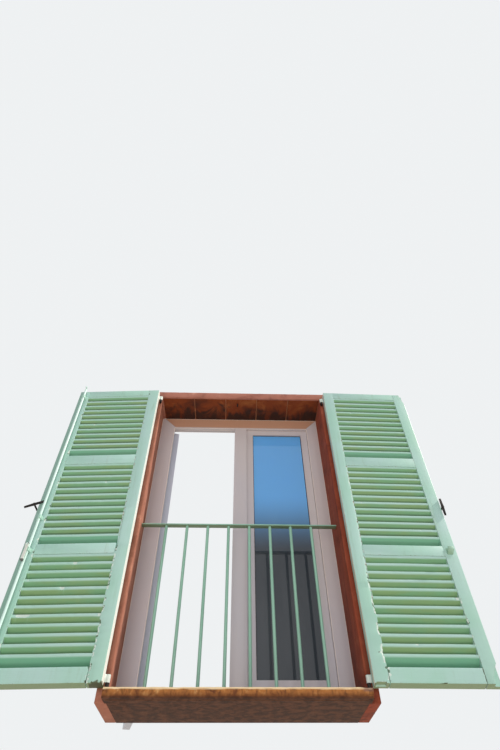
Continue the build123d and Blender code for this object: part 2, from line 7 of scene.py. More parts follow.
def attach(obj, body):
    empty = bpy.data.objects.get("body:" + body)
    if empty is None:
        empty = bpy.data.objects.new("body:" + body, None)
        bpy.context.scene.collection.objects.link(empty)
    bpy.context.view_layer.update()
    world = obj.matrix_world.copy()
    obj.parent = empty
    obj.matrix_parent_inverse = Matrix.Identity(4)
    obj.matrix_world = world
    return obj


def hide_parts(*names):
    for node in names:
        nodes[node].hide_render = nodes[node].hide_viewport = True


# A pair of louvred window shutters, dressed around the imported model. Metres, z up.

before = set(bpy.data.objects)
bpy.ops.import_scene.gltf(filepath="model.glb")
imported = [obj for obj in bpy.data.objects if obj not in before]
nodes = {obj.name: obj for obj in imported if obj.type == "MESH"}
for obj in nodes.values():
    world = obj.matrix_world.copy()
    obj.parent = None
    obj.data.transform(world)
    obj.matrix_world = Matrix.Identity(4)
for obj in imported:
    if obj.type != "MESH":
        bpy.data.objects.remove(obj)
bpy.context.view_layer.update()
print("frame loaded", len(nodes), "nodes")

# Camera, at the photograph's place: low in front of the sill, looking up.

cameraPlace = {
    "spot": (-0.0346, -2.7856, -0.7468),
    "pitch": 0.8581,
    "yaw": 0.0389,
    "roll": -0.0116,
    "lens": 23.24,  # mm
    "sensor": 36.0,  # mm along the picture's height
}


def makeCamera(plan):
    pitch, yaw, roll = plan["pitch"], plan["yaw"], plan["roll"]
    ahead = Vector((sin(yaw) * cos(pitch), cos(yaw) * cos(pitch), sin(pitch)))
    level = Vector((cos(yaw), -sin(yaw), 0.0))
    rise = level.cross(ahead)
    right = level * cos(roll) + rise * sin(roll)
    up = rise * cos(roll) - level * sin(roll)
    data = bpy.data.cameras.new("camera")
    data.lens = plan["lens"]
    data.sensor_width = plan["sensor"]
    camera = bpy.data.objects.new("camera", data)
    bpy.context.scene.collection.objects.link(camera)
    turn = Matrix((right, up, -ahead)).transposed().to_4x4()
    camera.matrix_world = Matrix.Translation(plan["spot"]) @ turn
    bpy.context.scene.camera = camera


makeCamera(cameraPlace)
print("camera placed")

# Light: a low sun far to the right, an open sky, and the pale ground's own bounce.

lightPlan = {
    "sunFrom": (1.0, -0.12, 0.85),
    "sunPower": 3.0,
    "sunSpread": radians(2.0),
    "sunColour": (1.0, 0.94, 0.86),
    "skyColour": (0.80, 0.88, 1.0),
    "skyPower": 0.35,
    "fillSpot": (-0.4, -7.0, -0.1),
    "fillAim": (0.0, 0.1, 1.0),
    "fillSize": 5.0,
    "fillPower": 195.0,
    "fillColour": (1.0, 0.97, 0.95),
    "backdrop": (0.86, 0.88, 0.89),
    "floorColour": (0.74, 0.69, 0.61),
    "floorHeight": -1.75,
    "floorSize": 60.0,
}


def makeLight(plan):
    sun = bpy.data.lights.new("sun", "SUN")
    sun.energy = plan["sunPower"]
    sun.angle = plan["sunSpread"]
    sun.color = plan["sunColour"]
    lamp = bpy.data.objects.new("sun", sun)
    bpy.context.scene.collection.objects.link(lamp)
    lamp.rotation_mode = "QUATERNION"
    lamp.rotation_quaternion = Vector(plan["sunFrom"]).to_track_quat("Z", "Y")

    fill = bpy.data.lights.new("fill", "AREA")
    fill.shape = "SQUARE"
    fill.size = plan["fillSize"]
    fill.energy = plan["fillPower"]
    fill.color = plan["fillColour"]
    panel = bpy.data.objects.new("fill", fill)
    bpy.context.scene.collection.objects.link(panel)
    panel.rotation_mode = "QUATERNION"
    toward = Vector(plan["fillSpot"]) - Vector(plan["fillAim"])
    turn = toward.to_track_quat("Z", "Y").to_matrix().to_4x4()
    panel.matrix_world = Matrix.Translation(plan["fillSpot"]) @ turn

    world = bpy.data.worlds.new("sky")
    bpy.context.scene.world = world
    world.use_nodes = True
    tree = world.node_tree
    tree.nodes.clear()
    # the camera, glass and reflections see the backdrop, and the sky only lights
    path = tree.nodes.new("ShaderNodeLightPath")
    straight = tree.nodes.new("ShaderNodeMath")
    straight.operation = "MAXIMUM"
    seen = tree.nodes.new("ShaderNodeMath")
    seen.operation = "MAXIMUM"
    tree.links.new(path.outputs["Is Camera Ray"], straight.inputs[0])
    tree.links.new(path.outputs["Is Transmission Ray"], straight.inputs[1])
    tree.links.new(straight.outputs[0], seen.inputs[0])
    tree.links.new(path.outputs["Is Glossy Ray"], seen.inputs[1])
    sky = tree.nodes.new("ShaderNodeBackground")
    sky.inputs["Color"].default_value = (*plan["skyColour"], 1)
    sky.inputs["Strength"].default_value = plan["skyPower"]
    back = tree.nodes.new("ShaderNodeBackground")
    back.inputs["Color"].default_value = (*plan["backdrop"], 1)
    pick = tree.nodes.new("ShaderNodeMixShader")
    out = tree.nodes.new("ShaderNodeOutputWorld")
    tree.links.new(seen.outputs[0], pick.inputs[0])
    tree.links.new(sky.outputs[0], pick.inputs[1])
    tree.links.new(back.outputs[0], pick.inputs[2])
    tree.links.new(pick.outputs[0], out.inputs["Surface"])
    bpy.context.scene.view_settings.view_transform = "Standard"


makeLight(lightPlan)
print("light set")

# Node helpers: each takes the material's tree and gives back a socket.


def startMaterial(name, roughness, metallic=0.0):
    material = bpy.data.materials.new(name)
    material.use_nodes = True
    tree = material.node_tree
    shader = tree.nodes["Principled BSDF"]
    shader.inputs["Roughness"].default_value = roughness
    shader.inputs["Metallic"].default_value = metallic
    return material, tree, shader


def place(tree, stretch=(1, 1, 1), shift=(0, 0, 0)):
    coordinates = tree.nodes.new("ShaderNodeTexCoord")
    mapping = tree.nodes.new("ShaderNodeMapping")
    mapping.inputs["Location"].default_value = shift
    mapping.inputs["Scale"].default_value = stretch
    tree.links.new(coordinates.outputs["Object"], mapping.inputs["Vector"])
    return mapping.outputs["Vector"]


def noise(tree, where, scale, detail=4.0, rough=0.55, warp=0.0):
    node = tree.nodes.new("ShaderNodeTexNoise")
    node.inputs["Scale"].default_value = scale
    node.inputs["Detail"].default_value = detail
    node.inputs["Roughness"].default_value = rough
    node.inputs["Distortion"].default_value = warp
    tree.links.new(where, node.inputs["Vector"])
    return node.outputs["Fac"]


def sharpen(tree, value, low, high):
    node = tree.nodes.new("ShaderNodeMapRange")
    node.interpolation_type = "SMOOTHSTEP"
    node.inputs["From Min"].default_value = low
    node.inputs["From Max"].default_value = high
    tree.links.new(value, node.inputs["Value"])
    return node.outputs["Result"]


def sums(tree, kind, first, second):
    node = tree.nodes.new("ShaderNodeMath")
    node.operation = kind
    for index, part in enumerate((first, second)):
        if isinstance(part, (int, float)):
            node.inputs[index].default_value = part
        else:
            tree.links.new(part, node.inputs[index])
    return node.outputs[0]


def blendColour(tree, share, first, second):
    node = tree.nodes.new("ShaderNodeMix")
    node.data_type = "RGBA"
    for name, part in (("Factor", share), ("A", first), ("B", second)):
        socket = [s for s in node.inputs if s.name == name and s.enabled][0]
        if isinstance(part, (int, float)):
            socket.default_value = part
        elif isinstance(part, tuple):
            socket.default_value = (*part, 1)
        else:
            tree.links.new(part, socket)
    return [s for s in node.outputs if s.enabled][0]


def tint(tree, mask, share, colour, tone):
    return blendColour(tree, sums(tree, "MULTIPLY", mask, share), colour, tone)


def axisPart(tree, where, axis):
    node = tree.nodes.new("ShaderNodeSeparateXYZ")
    tree.links.new(where, node.inputs[0])
    return node.outputs[axis]


def spotPart(tree, axis):
    return axisPart(tree, place(tree), axis)


def facing(tree):
    node = tree.nodes.new("ShaderNodeNewGeometry")
    return axisPart(tree, node.outputs["Normal"], "Z")


def fromBelow(tree, low, high):
    return sharpen(tree, sums(tree, "MULTIPLY", facing(tree), -1.0), low, high)


def edgeWear(tree, radius, low, high):  # where a rounded normal turns away from the flat one
    soft = tree.nodes.new("ShaderNodeBevel")
    soft.samples = 6
    soft.inputs["Radius"].default_value = radius
    plain = tree.nodes.new("ShaderNodeNewGeometry")
    dot = tree.nodes.new("ShaderNodeVectorMath")
    dot.operation = "DOT_PRODUCT"
    tree.links.new(soft.outputs[0], dot.inputs[0])
    tree.links.new(plain.outputs["Normal"], dot.inputs[1])
    return sharpen(tree, sums(tree, "SUBTRACT", 1.0, dot.outputs["Value"]), low, high)


def addBump(tree, shader, heights, strength, distance):
    node = tree.nodes.new("ShaderNodeBump")
    node.inputs["Strength"].default_value = strength
    node.inputs["Distance"].default_value = distance
    tree.links.new(heights, node.inputs["Height"])
    tree.links.new(node.outputs["Normal"], shader.inputs["Normal"])


def setColour(tree, shader, colour):
    tree.links.new(colour, shader.inputs["Base Color"])


def attribute(tree, name):
    node = tree.nodes.new("ShaderNodeAttribute")
    node.attribute_name = name
    return node.outputs["Fac"]


# The shutters' paint

paintPlan = {
    "mint": (0.410, 0.680, 0.570),
    "mintPale": (0.480, 0.700, 0.660),
    "mintDeep": (0.320, 0.570, 0.450),
    "noseLit": (0.620, 0.800, 0.700),
    "underShadeOlive": (0.225, 0.390, 0.160),
    "underShadeGreen": (0.180, 0.410, 0.205),
    "teal": (0.165, 0.450, 0.300),
    "cream": (0.680, 0.810, 0.740),
    "sunlitEdge": (0.950, 0.950, 0.880),
    "olive": (0.190, 0.240, 0.070),
    "primer": (0.640, 0.700, 0.640),
    "bareWood": (0.210, 0.170, 0.120),
    "deepShade": (0.070, 0.150, 0.085),
    "lapShade": (0.165, 0.300, 0.240),
    "rotten": (0.060, 0.075, 0.025),
    "chipDark": (0.110, 0.190, 0.120),
    "arrisHighlight": (0.850, 0.790, 0.640),
    "brush": {"z": (260, 260, 5), "x": (5, 260, 260)},  # strokes along the piece
    "brushShare": 0.22,
    "grimeStretch": (34, 34, 3.2),
    "grimeShare": 0.30,
    "lowShare": {"z": 0.45, "x": 0.15},
    "lowSpan": (0.95, 0.05),
    "footShadeShare": 0.75,
    "footShadeSpan": (0.16, 0.10),
    "edgeRadius": 0.007,
    "edgeSpan": (0.02, 0.16),
    "biteScale": 46.0,
    "patchScale": 4.2,
    "flakeSpan": (0.20, 0.225),  # above a piece's own share of chips
    "primerScale": 90.0,
    "shadeShare": 0.62,
    "highlightShare": 0.9,
    "arrisHighlightShare": 0.8,
    "brokenScale": 52.0,
    "chipSpan": (0.42, 0.52),
    "rotSpan": (0.40, 0.62),
    "bump": 0.0012,
}


def shutterPaint(name, along, chips=0.62, shaded=None, highlight=None, reveal=None, hole=None):
    material, tree, shader = startMaterial(name, 0.42)
    plan = paintPlan
    broad = noise(tree, place(tree), 2.6, 5.0)
    colour = blendColour(tree, sharpen(tree, broad, 0.35, 0.68), plan["mint"], plan["mintPale"])
    strokes = noise(tree, place(tree, plan["brush"][along]), 1.0, 3.0, 0.6)
    colour = tint(tree, sharpen(tree, strokes, 0.45, 0.75), plan["brushShare"], colour, plan["mintDeep"])
    grime = noise(tree, place(tree, plan["grimeStretch"]), 1.0, 6.0, 0.65, 0.4)
    colour = tint(tree, sharpen(tree, grime, 0.52, 0.80), plan["grimeShare"], colour, plan["olive"])

    # deeper tone low down, and painted shade, olive, on the down-facing faces at the foot
    height = spotPart(tree, "Z")
    low = sharpen(tree, height, *plan["lowSpan"])
    colour = tint(tree, low, plan["lowShare"][along], colour, plan["mintDeep"])
    foot = sums(tree, "MULTIPLY", fromBelow(tree, 0.5, 0.9), sharpen(tree, height, *plan["footShadeSpan"]))
    colour = tint(tree, foot, plan["footShadeShare"], colour, plan["olive"])

    # flakes along the arrises, down to primer and bare wood
    edge = edgeWear(tree, plan["edgeRadius"], *plan["edgeSpan"])
    bites = noise(tree, place(tree), plan["biteScale"], 5.0, 0.62, 0.6)
    patches = noise(tree, place(tree, shift=(3, 1, 7)), plan["patchScale"], 3.0)
    bitten = sums(tree, "ADD", sums(tree, "MULTIPLY", edge, 0.22), bites)
    bitten = sums(tree, "ADD", bitten, sums(tree, "MULTIPLY", patches, 0.25))
    flake = sharpen(tree, bitten, *[chips + above for above in plan["flakeSpan"]])
    flake = sums(tree, "MULTIPLY", flake, sharpen(tree, edge, 0.1, 0.4))
    grain = sharpen(tree, noise(tree, place(tree), plan["primerScale"], 3.0), 0.42, 0.58)
    colour = blendColour(tree, flake, colour, blendColour(tree, grain, plan["primer"], plan["bareWood"]))

    if shaded:
        lap = sharpen(tree, spotPart(tree, "X"), *shaded)
        colour = tint(tree, lap, plan["shadeShare"], colour, plan["lapShade"])
    # painted highlight: the sunlit hinge edge, near white
    if highlight:
        highlit = sharpen(tree, spotPart(tree, "X"), *highlight)
        colour = tint(tree, highlit, plan["highlightShare"], colour, plan["sunlitEdge"])
    # painted highlight: a pale strip along the front of the hinge edge face
    if reveal:
        arris = sums(tree, "MULTIPLY", sharpen(tree, spotPart(tree, "X"), *reveal["across"]),
                     sharpen(tree, spotPart(tree, "Y"), *reveal["inward"]))
        colour = tint(tree, arris, plan["arrisHighlightShare"], colour, plan["arrisHighlight"])
    if hole:
        gap = tree.nodes.new("ShaderNodeVectorMath")
        gap.operation = "DISTANCE"
        gap.inputs[1].default_value = hole["spot"]
        tree.links.new(place(tree), gap.inputs[0])
        pit = sharpen(tree, gap.outputs["Value"], hole["wide"], hole["wide"] * 0.6)
        colour = blendColour(tree, pit, colour, plan["rotten"])

    # chips and rot lie where the piece's own attributes put them, with ragged rims
    ragged = sums(tree, "MULTIPLY", sums(tree, "SUBTRACT", bites, 0.5), 1.5)
    chipped = sharpen(tree, sums(tree, "ADD", attribute(tree, "chip"), ragged), *plan["chipSpan"])
    broken = noise(tree, place(tree, shift=(5, 2, 9)), plan["brokenScale"], 3.0)
    chipTone = blendColour(tree, sharpen(tree, broken, 0.50, 0.58), plan["cream"], plan["chipDark"])
    colour = blendColour(tree, chipped, colour, chipTone)
    rotten = sharpen(tree, sums(tree, "ADD", attribute(tree, "rot"), ragged), *plan["rotSpan"])
    colour = blendColour(tree, rotten, colour, plan["rotten"])
    setColour(tree, shader, colour)

    flake = sums(tree, "MAXIMUM", flake, sums(tree, "MULTIPLY", chipped, 0.6))
    tree.links.new(sums(tree, "ADD", sums(tree, "MULTIPLY", flake, 0.35), 0.40), shader.inputs["Roughness"])
    relief = sums(tree, "SUBTRACT", sums(tree, "MULTIPLY", strokes, 0.35), flake)
    addBump(tree, shader, relief, 0.5, plan["bump"])
    return material


louvrePlan = {
    "broadStretch": (2.2, 2.2, 9),
    "brush": (6, 300, 300),
    "brushShare": 0.2,
    "underFrom": (-0.06, 0.15),  # shares of a slat's depth from its nose, over which the painted shade's green starts
    "mottle": (3, 8, 10),
    "tealShare": 0.85,
    "underShare": 0.95,
    "deepShadeFrom": (0.34, 0.66),
    "deepShadeShare": 0.85,
    "deepShadeSpared": 0.6,  # on the lowest slat of a panel
    "litFrom": (0.04, 0.45),
    "edgeRadius": 0.004,
    "edgeSpan": (0.02, 0.16),
    "biteScale": 60.0,
    "flakeSpan": (0.84, 0.86),
    "chipSpan": (0.60, 0.70),
    "bump": 0.001,
}


def slatPaint(name):
    material, tree, shader = startMaterial(name, 0.45)
    plan, own = paintPlan, louvrePlan
    broad = noise(tree, place(tree, own["broadStretch"]), 1.0, 4.0)
    colour = blendColour(tree, sharpen(tree, broad, 0.34, 0.70), plan["mint"], plan["mintPale"])
    strokes = noise(tree, place(tree, own["brush"]), 1.0, 3.0, 0.6)
    colour = tint(tree, sharpen(tree, strokes, 0.45, 0.75), own["brushShare"], colour, plan["mintDeep"])

    # painted shade on the undersides: green, teal on each panel's lowest slat, darker away from the nose
    inward = attribute(tree, "depth")
    lowest = attribute(tree, "lowest")
    below = sums(tree, "MULTIPLY", fromBelow(tree, 0.10, 0.55), sharpen(tree, inward, *own["underFrom"]))
    mottle = noise(tree, place(tree, own["mottle"]), 1.0, 4.0, 0.55, 0.3)
    under = blendColour(tree, sharpen(tree, mottle, 0.38, 0.62), plan["underShadeOlive"], plan["underShadeGreen"])
    under = tint(tree, lowest, own["tealShare"], under, plan["teal"])
    colour = tint(tree, below, own["underShare"], colour, under)
    deep = sums(tree, "MULTIPLY", below, sharpen(tree, inward, *own["deepShadeFrom"]))
    spared = sums(tree, "SUBTRACT", 1.0, sums(tree, "MULTIPLY", lowest, own["deepShadeSpared"]))
    colour = tint(tree, sums(tree, "MULTIPLY", deep, spared), own["deepShadeShare"], colour, plan["deepShade"])
    colour = blendColour(tree, sharpen(tree, facing(tree), *own["litFrom"]), colour, plan["noseLit"])

    edge = edgeWear(tree, own["edgeRadius"], *own["edgeSpan"])
    bites = noise(tree, place(tree), own["biteScale"], 5.0, 0.62, 0.6)
    flake = sharpen(tree, sums(tree, "ADD", bites, sums(tree, "MULTIPLY", edge, 0.2)), *own["flakeSpan"])
    ragged = sums(tree, "MULTIPLY", sums(tree, "SUBTRACT", bites, 0.5), 1.2)
    chipped = sharpen(tree, sums(tree, "ADD", attribute(tree, "chip"), ragged), *own["chipSpan"])
    flake = sums(tree, "MAXIMUM", flake, chipped)
    setColour(tree, shader, blendColour(tree, flake, colour, plan["cream"]))
    addBump(tree, shader, sums(tree, "SUBTRACT", sums(tree, "MULTIPLY", strokes, 0.3), flake), 0.5, own["bump"])
    return material


# Painted and bare iron

ironTones = {
    "rust": (0.16, 0.07, 0.03),
    # also used as the painted shadow at the handle's two ends, near black
    "worn": (0.05, 0.05, 0.045),
    "knuckleSpan": (0.676, 0.669),  # how far from the middle the hinges' knuckles reach
    "tipFade": 0.004,
    "bareDark": (0.018, 0.016, 0.016),
    "bareRusty": (0.085, 0.040, 0.022),
}


def ironPaint(name, tones, under=None, knuckle=None, lumpy=0.35, ends=None):
    material, tree, shader = startMaterial(name, 0.38)
    plan = ironTones
    broad = noise(tree, place(tree, (8, 8, 2.4)), 1.0, 4.0)
    colour = blendColour(tree, sharpen(tree, broad, 0.32, 0.72), *tones)
    # painted shade, olive, on the down-facing faces
    if under:
        colour = tint(tree, fromBelow(tree, 0.3, 0.8), 0.85, colour, under)
    # painted shadow, dark at both ends of the handle
    if ends:
        height = spotPart(tree, "Z")
        low, high = ends
        tips = sums(tree, "MAXIMUM", sharpen(tree, height, low + plan["tipFade"], low),
                    sharpen(tree, height, high, high + plan["tipFade"]))
        colour = tint(tree, tips, 0.9, colour, plan["worn"])
    if knuckle:
        reach = sums(tree, "ABSOLUTE", spotPart(tree, "X"), 0.0)
        colour = blendColour(tree, sharpen(tree, reach, *plan["knuckleSpan"]), colour, knuckle)
    rust = sharpen(tree, noise(tree, place(tree), 70.0, 6.0, 0.7), 0.70, 0.76)
    setColour(tree, shader, blendColour(tree, rust, colour, plan["rust"]))
    lumps = noise(tree, place(tree), 120.0, 4.0)
    addBump(tree, shader, sums(tree, "SUBTRACT", lumps, rust), lumpy, 0.0012)
    return material


def bareIron(name):
    material, tree, shader = startMaterial(name, 0.62, 0.55)
    spots = noise(tree, place(tree), 130.0, 6.0, 0.7)
    tone = blendColour(tree, sharpen(tree, spots, 0.50, 0.72), ironTones["bareDark"], ironTones["bareRusty"])
    setColour(tree, shader, tone)
    addBump(tree, shader, noise(tree, place(tree), 180.0, 5.0), 0.6, 0.0015)
    return material


# The window: rubber, lacquer and glass

windowTones = {
    "rubberDark": (0.030, 0.028, 0.030),
    "rubberDusty": (0.090, 0.080, 0.080),
    "pale": (0.610, 0.545, 0.545),
    "cool": (0.560, 0.530, 0.580),
    "runs": (0.40, 0.30, 0.26),
    "seam": (0.16, 0.10, 0.08),
    "lip": (0.98, 0.84, 0.74),
    "reflectionDark": (0.050, 0.060, 0.075),
    "reflectionMottled": (0.085, 0.095, 0.110),
    "skyReflection": (0.17, 0.52, 1.00),
    "skyReflectionSpan": (0.95, 1.45),
    "glassClear": 0.30,
}

mitrePlan = {  # the frame's head, warmer than its sides: painted warm bounce light
    "warmBounce": (0.52, 0.235, 0.110),
    "warmFrom": (2.080, 2.094),
    "warmShare": 0.82,
    "line": 1.532,  # the height at which the mitre's line would reach the middle
    "front": (0.300, 0.285),
    "seamWide": (0.0016, 0.0006),
}


def rubber(name):
    material, tree, shader = startMaterial(name, 0.75)
    mottle = sharpen(tree, noise(tree, place(tree), 34.0, 5.0), 0.4, 0.7)
    setColour(tree, shader, blendColour(tree, mottle, windowTones["rubberDark"], windowTones["rubberDusty"]))
    addBump(tree, shader, noise(tree, place(tree), 400.0, 3.0), 0.2, 0.0004)
    return material


def windowLacquer(name, pale=windowTones["pale"], cool=windowTones["cool"], mitre=None):
    material, tree, shader = startMaterial(name, 0.36)
    broad = noise(tree, place(tree, (2, 2, 0.7)), 1.0, 4.0)
    colour = blendColour(tree, sharpen(tree, broad, 0.3, 0.7), pale, cool)
    runs = noise(tree, place(tree, (40, 40, 1.6)), 1.0, 5.0, 0.6)
    colour = tint(tree, sharpen(tree, runs, 0.55, 0.8), 0.16, colour, windowTones["runs"])
    if mitre:  # painted warm bounce light on the frame's head, above its mitred corners
        where = place(tree)
        across, height = axisPart(tree, where, "X"), axisPart(tree, where, "Z")
        slope = sums(tree, "SUBTRACT", sums(tree, "ABSOLUTE", across, 0.0), height)
        slope = sums(tree, "ADD", slope, mitre["line"])
        headOnly = sharpen(tree, height, *mitre["warmFrom"])
        front = sharpen(tree, axisPart(tree, where, "Y"), *mitre["front"])
        above = sums(tree, "MULTIPLY", sharpen(tree, slope, 0.001, -0.001), front)
        colour = tint(tree, sums(tree, "MULTIPLY", headOnly, above), mitre["warmShare"], colour, mitre["warmBounce"])
        seam = sharpen(tree, sums(tree, "ABSOLUTE", slope, 0.0), *mitre["seamWide"])
        colour = tint(tree, sums(tree, "MULTIPLY", seam, headOnly), 0.7, colour, windowTones["seam"])
        # painted highlight along the frame's arrises
        colour = tint(tree, edgeWear(tree, 0.010, 0.01, 0.08), 0.8, colour, windowTones["lip"])
    setColour(tree, shader, colour)
    addBump(tree, shader, noise(tree, place(tree), 900.0, 2.0), 0.12, 0.0003)
    return material


def paneGlass(name):
    material, tree, shader = startMaterial(name, 0.03)
    # painted reflection: dark and mottled, with a painted blue sky reflection higher up
    reflectionMottle = sharpen(tree, noise(tree, place(tree, (3, 3, 1)), 1.0, 4.0), 0.35, 0.7)
    colour = blendColour(tree, reflectionMottle, windowTones["reflectionDark"], windowTones["reflectionMottled"])
    high = sharpen(tree, spotPart(tree, "Z"), *windowTones["skyReflectionSpan"])
    setColour(tree, shader, blendColour(tree, high, colour, windowTones["skyReflection"]))
    shader.inputs["Transmission Weight"].default_value = windowTones["glassClear"]
    shader.inputs["IOR"].default_value = 1.5
    return material


# Stone, render and clay round the opening

stonePlan = {
    "sill": {
        "name": "sillStone",
        "tones": ((0.17, 0.050, 0.012), (0.44, 0.165, 0.038), (0.66, 0.34, 0.12)),
        "grain": 22.0,
        "stains": {"stretch": (62, 20, 24), "warp": 0.7, "low": 0.46, "high": 0.72, "share": 0.75,
                   "colour": (0.080, 0.028, 0.008)},
        "nose": {"high": 0.034, "low": 0.004, "shade": (0.120, 0.036, 0.009),
                 "under": (0.050, 0.018, 0.009), "underPale": (0.135, 0.048, 0.022),
                 "inner": -0.080, "fade": 0.006, "lit": (0.820, 0.640, 0.380),
                 "greyEnd": (0.598, 0.622), "greyFrom": (0.022, 0.034), "grey": (0.200, 0.105, 0.085)},
    },
    "leftJamb": {
        "name": "leftRender",
        "tones": ((0.310, 0.110, 0.066), (0.430, 0.165, 0.105), (0.590, 0.265, 0.170)),
        "grain": 7.0,
        "stains": {"stretch": (22, 22, 1.6), "warp": 0.3, "low": 0.50, "high": 0.78, "share": 0.5,
                   "colour": (0.17, 0.055, 0.035)},
        "bump": 0.0025,
    },
    # the same red render as the left jamb, made darker as painted shade
    "shadedRightJamb": {
        "name": "rightRenderShaded",
        "tones": ((0.200, 0.034, 0.014), (0.310, 0.058, 0.024), (0.400, 0.100, 0.046)),
        "grain": 7.0,
        "stains": {"stretch": (26, 26, 1.2), "warp": 0.3, "low": 0.45, "high": 0.75, "share": 0.7,
                   "colour": (0.070, 0.020, 0.010)},
        "bump": 0.0025,
    },
    "head": {
        "name": "headRender",
        "tones": ((0.320, 0.110, 0.075), (0.480, 0.190, 0.135), (0.620, 0.300, 0.220)),
        "grain": 6.0,
        "stains": {"stretch": (9, 9, 9), "warp": 0.4, "low": 0.52, "high": 0.78, "share": 0.5,
                   "colour": (0.16, 0.05, 0.03)},
        "bump": 0.0025,
    },
    "soffit": {
        "name": "soffitTile",
        "tones": ((0.085, 0.013, 0.001), (0.205, 0.036, 0.003), (0.360, 0.105, 0.022)),
        "grain": 5.0,
        "stains": {"stretch": (7, 7, 5), "warp": 0.5, "low": 0.52, "high": 0.74, "share": 0.6,
                   "colour": (0.024, 0.008, 0.004)},
        "bump": 0.002,
        "joints": {"start": 1.3037, "pitch": 0.2607, "wide": 0.010, "colour": (0.85, 0.42, 0.20),
                   "deepShade": (0.020, 0.007, 0.004), "deepShadeSpan": (0.66, 0.86)},
    },
}


def stone(name, tones, grain, stains, bump=0.004, nose=None, joints=None):
    material, tree, shader = startMaterial(name, 0.9)
    dark, middle, pale = tones
    broad = noise(tree, place(tree), grain, 6.0, 0.6, 0.5)
    colour = blendColour(tree, sharpen(tree, broad, 0.30, 0.52), dark, middle)
    colour = blendColour(tree, sharpen(tree, broad, 0.54, 0.74), colour, pale)
    runs = noise(tree, place(tree, stains["stretch"], (1.3, 0.4, 2.2)), 1.0, 6.0, 0.6, stains["warp"])
    wet = sharpen(tree, runs, stains["low"], stains["high"])
    colour = tint(tree, wet, stains["share"], colour, stains["colour"])
    if nose:  # painted shade low on the front and under the nose, a painted highlight along the upper arris, grey at the right end
        height = spotPart(tree, "Z")
        ragged = sums(tree, "MULTIPLY", sums(tree, "SUBTRACT", broad, 0.5), 0.03)
        low = sharpen(tree, sums(tree, "ADD", height, ragged), nose["high"], nose["low"])
        colour = tint(tree, low, 0.8, colour, nose["shade"])
        beneath = blendColour(tree, sharpen(tree, broad, 0.38, 0.66), nose["under"], nose["underPale"])
        colour = tint(tree, fromBelow(tree, 0.35, 0.85), 0.95, colour, beneath)
        arris = sharpen(tree, spotPart(tree, "Y"), nose["inner"] + nose["fade"], nose["inner"])
        lit = sums(tree, "MULTIPLY", sharpen(tree, facing(tree), 0.12, 0.6), arris)
        colour = blendColour(tree, lit, colour, nose["lit"])
        end = sums(tree, "ADD", spotPart(tree, "X"), sums(tree, "MULTIPLY", ragged, 2.0))
        grey = sums(tree, "MULTIPLY", sharpen(tree, end, *nose["greyEnd"]),
                    sharpen(tree, height, *nose["greyFrom"]))
        colour = tint(tree, grey, 0.75, colour, nose["grey"])
    if joints:  # pale lines between the tiles, and painted shade over all, blotchy and deeper into the reveal
        across = sums(tree, "ADD", spotPart(tree, "X"), joints["start"])
        cell = sums(tree, "FRACT", sums(tree, "DIVIDE", across, joints["pitch"]), 0.0)
        off = sums(tree, "ABSOLUTE", sums(tree, "SUBTRACT", cell, 0.5), 0.0)
        line = sharpen(tree, off, joints["wide"] * 1.6, joints["wide"])
        shadeBlotches = noise(tree, place(tree, (11, 5, 5), (4, 2, 0)), 1.0, 5.0, 0.6, 0.7)
        inward = sums(tree, "MULTIPLY", spotPart(tree, "Y"), 1.5)
        shadedDeeper = sharpen(tree, sums(tree, "ADD", shadeBlotches, inward), *joints["deepShadeSpan"])
        colour = tint(tree, shadedDeeper, 0.88, colour, joints["deepShade"])
        colour = tint(tree, line, 0.85, colour, joints["colour"])
    setColour(tree, shader, colour)
    addBump(tree, shader, noise(tree, place(tree), grain * 9, 8.0, 0.68), 0.75, bump)
    return material


finishes = {
    "stile": shutterPaint("shutterPaintUpright", "z"),
    "revealStile": shutterPaint("shutterPaintReveal", "z",
                                reveal={"across": (0.6714, 0.6706), "inward": (-0.060, -0.068)}),
    "lapStile": shutterPaint("shutterPaintLap", "z", shaded=(-1.266, -1.272)),
    "sunStile": shutterPaint("shutterPaintHighlit", "z", highlight=(-0.6734, -0.6727),
                             hole={"spot": (-0.7469, -0.0812, 2.127), "wide": 0.0075}),
    "rail": shutterPaint("shutterPaintLevel", "x", 0.66),
    "slat": slatPaint("slatPaint"),
    "iron": ironPaint("ironPaint", ((0.47, 0.70, 0.61), (0.38, 0.62, 0.52))),
    # the rod: paler than the mint ironwork, partly its paint, partly a painted highlight
    "rod": ironPaint("rodPaint", ((0.74, 0.93, 0.88), (0.64, 0.86, 0.80))),
    "strap": ironPaint("strapPaint", ((0.42, 0.66, 0.56), (0.34, 0.58, 0.47)), knuckle=(0.72, 0.80, 0.74)),
    # the handle: near white, partly its paint, partly a painted highlight; its ends carry painted shadow
    "handle": ironPaint("handlePaint", ((0.78, 0.80, 0.75), (0.66, 0.69, 0.64)), lumpy=0.08, ends=(0.691, 0.786)),
    "keeper": ironPaint("keeperPaint", ((0.40, 0.63, 0.50), (0.24, 0.38, 0.24))),
    "guard": ironPaint("guardPaint", ((0.33, 0.60, 0.47), (0.26, 0.50, 0.38)), under=(0.150, 0.215, 0.110)),
    "dog": bareIron("bareIron"),
    "rubber": rubber("paneRubber"),
    "lacquer": windowLacquer("windowLacquer"),
    "frameLacquer": windowLacquer("frameLacquer", mitre=mitrePlan),
    # the open sash: a bluer copy of the lacquer, painted sky light in its shade
    "skyCastLacquer": windowLacquer("openSashSkyCastLacquer", (0.60, 0.61, 0.70), (0.54, 0.57, 0.68)),
    "fitting": ironPaint("windowFitting", ((0.50, 0.48, 0.47), (0.42, 0.40, 0.40))),
    "glass": paneGlass("paneGlass"),
}
for part, plan in stonePlan.items():
    finishes[part] = stone(**plan)

